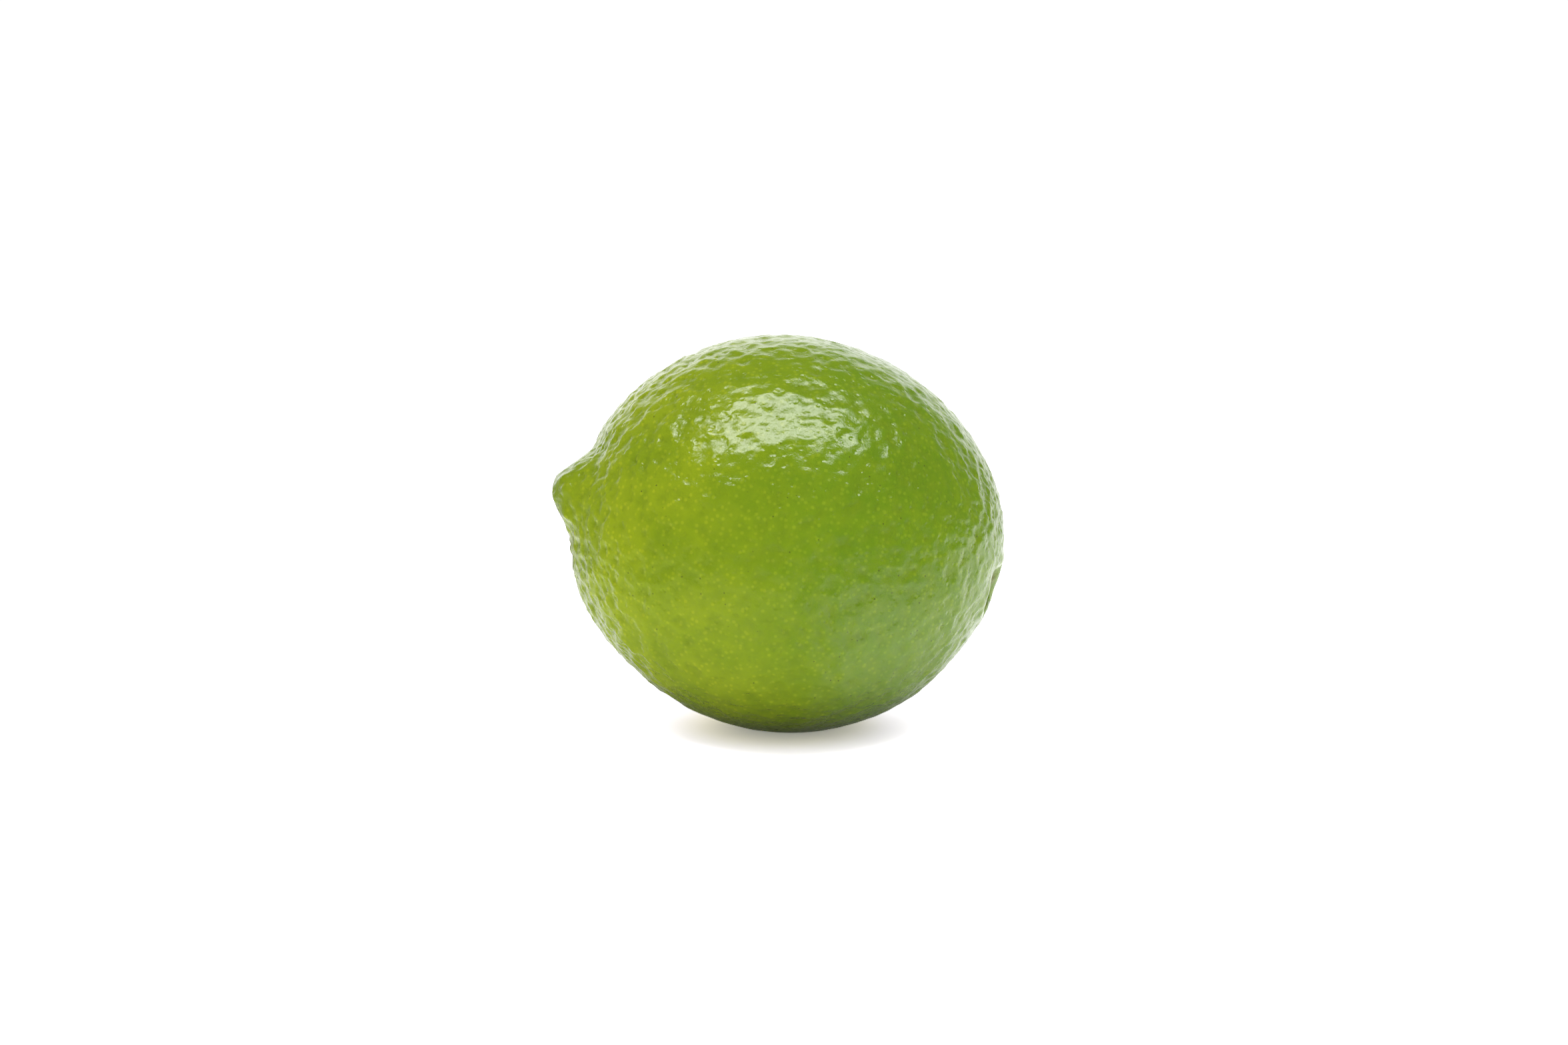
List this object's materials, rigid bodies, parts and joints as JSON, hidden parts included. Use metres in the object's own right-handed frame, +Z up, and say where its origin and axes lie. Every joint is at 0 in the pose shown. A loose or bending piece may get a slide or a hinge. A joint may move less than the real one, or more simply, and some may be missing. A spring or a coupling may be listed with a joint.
{
  "type": "whole lime",
  "caption": "Whole fresh lime: an oval fruit with a blunt nipple at one end and a shallow stem dimple at the other, lying on a small flat spot.",
  "frame": {"origin": "under the middle of the fruit's box, on the surface that it rests on", "axes": "+Z up; the fruit's long axis lies over X and tilts by about 12 degrees, with the stem end towards +X and lower, and the nipple towards -X and higher"},
  "size_m": [0.0614, 0.0534, 0.0536],
  "materials": {
    "peel": "waxy semi-gloss green citrus peel with pale oil glands, a yellower blossom end and an olive scar in the stem dimple"
  },
  "bodies": {
    "root": {"lime": "peel"}
  },
  "joints": []
}
